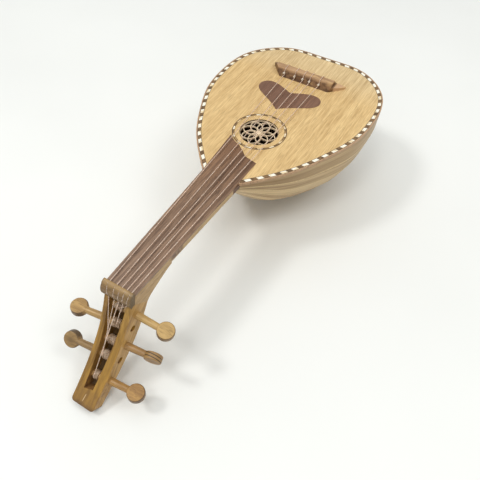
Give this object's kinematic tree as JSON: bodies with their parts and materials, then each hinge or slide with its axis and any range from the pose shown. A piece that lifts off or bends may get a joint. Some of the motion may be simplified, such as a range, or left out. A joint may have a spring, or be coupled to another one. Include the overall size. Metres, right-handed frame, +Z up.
{
  "type": "oud",
  "caption": "Small fretless short-necked oud: ribbed bowl, inlaid soundboard with pierced rosette, bent-back pegbox with turning wooden pegs and nylon strings.",
  "frame": {"origin": "centre of the bounding box, on the surface that the oud lies on", "axes": "+X from the tail towards the pegs, +Y across the oud, +Z up, with the oud lying on the back of its bowl and the tip of its pegbox"},
  "size_m": [0.3646, 0.15, 0.0944],
  "materials": {
    "soundboard_wood": "satin",
    "binding_wood": "satin",
    "line_wood": "satin",
    "light_inlay": "satin",
    "dark_inlay": "satin",
    "fret_wood": "satin",
    "guard_wood": "satin",
    "bridge_wood": "satin",
    "fingerboard_wood": "satin",
    "neck_wood": "satin",
    "collar_wood": "satin",
    "nut_wood": "satin",
    "rib_wood": "satin",
    "rib_line_wood": "satin",
    "inner_wood": "satin",
    "cap_wood": "satin",
    "pegbox_wood": "satin",
    "peg_wood": "satin",
    "nylon": "clear"
  },
  "bodies": {
    "root": {"soundboard": "soundboard_wood", "edge_binding": "binding_wood", "purfling_lines": "line_wood", "purfling_light_blocks": "light_inlay", "purfling_dark_blocks": "dark_inlay", "rosette_light_blocks": "light_inlay", "rosette_dark_blocks": "dark_inlay", "rosette_lines": "line_wood", "rosette_fretwork": "fret_wood", "pickguard": "guard_wood", "bridge": "bridge_wood", "fingerboard": "fingerboard_wood", "neck": "neck_wood", "heel_collar": "collar_wood", "nut": "nut_wood", "rib_lines": "rib_line_wood", "neck_block": "inner_wood", "tail_block": "inner_wood", "tail_cap": "cap_wood", "lining_left": "inner_wood", "lining_right": "inner_wood", "pegbox_cheek_left": "pegbox_wood", "pegbox_cheek_right": "pegbox_wood", "pegbox_floor": "pegbox_wood", "pegbox_end_block": "pegbox_wood", "rib_01": "rib_wood", "rib_02": "rib_wood", "rib_03": "rib_wood", "rib_04": "rib_wood", "rib_05": "rib_wood", "rib_06": "rib_wood", "rib_07": "rib_wood", "rib_08": "rib_wood", "rib_09": "rib_wood", "rib_10": "rib_wood", "rib_11": "rib_wood", "rib_12": "rib_wood", "rib_13": "rib_wood", "rib_14": "rib_wood", "rib_15": "rib_wood", "brace_1": "inner_wood", "brace_2": "inner_wood", "brace_3": "inner_wood", "brace_4": "inner_wood", "string_1": "nylon", "string_2": "nylon", "string_3": "nylon", "string_4": "nylon", "string_5": "nylon"},
    "peg_1": {"peg_1": "peg_wood", "winding_1": "nylon"},
    "peg_2": {"peg_2": "peg_wood", "winding_2": "nylon"},
    "peg_3": {"peg_3": "peg_wood", "winding_3": "nylon"},
    "peg_4": {"peg_4": "peg_wood", "winding_4": "nylon"},
    "peg_5": {"peg_5": "peg_wood", "winding_5": "nylon"}
  },
  "joints": [
    {"name": "peg_1_turn", "type": "hinge", "parent": "root", "child": "peg_1", "pos_m": [0.12614, 0, 0.05482], "axis": [-0.0457, 0.9932, -0.1074], "continuous": true},
    {"name": "peg_2_turn", "type": "hinge", "parent": "root", "child": "peg_2", "pos_m": [0.13345, 0, 0.04527], "axis": [0.1328, -0.9909, -0.0213], "continuous": true},
    {"name": "peg_3_turn", "type": "hinge", "parent": "root", "child": "peg_3", "pos_m": [0.14149, 0, 0.03465], "axis": [-0.0963, 0.9948, 0.0322], "continuous": true},
    {"name": "peg_4_turn", "type": "hinge", "parent": "root", "child": "peg_4", "pos_m": [0.14952, 0, 0.02613], "axis": [0.0801, -0.9935, -0.0804], "continuous": true},
    {"name": "peg_5_turn", "type": "hinge", "parent": "root", "child": "peg_5", "pos_m": [0.16151, 0, 0.01611], "axis": [-0.0722, 0.9948, 0.0712], "continuous": true}
  ]
}
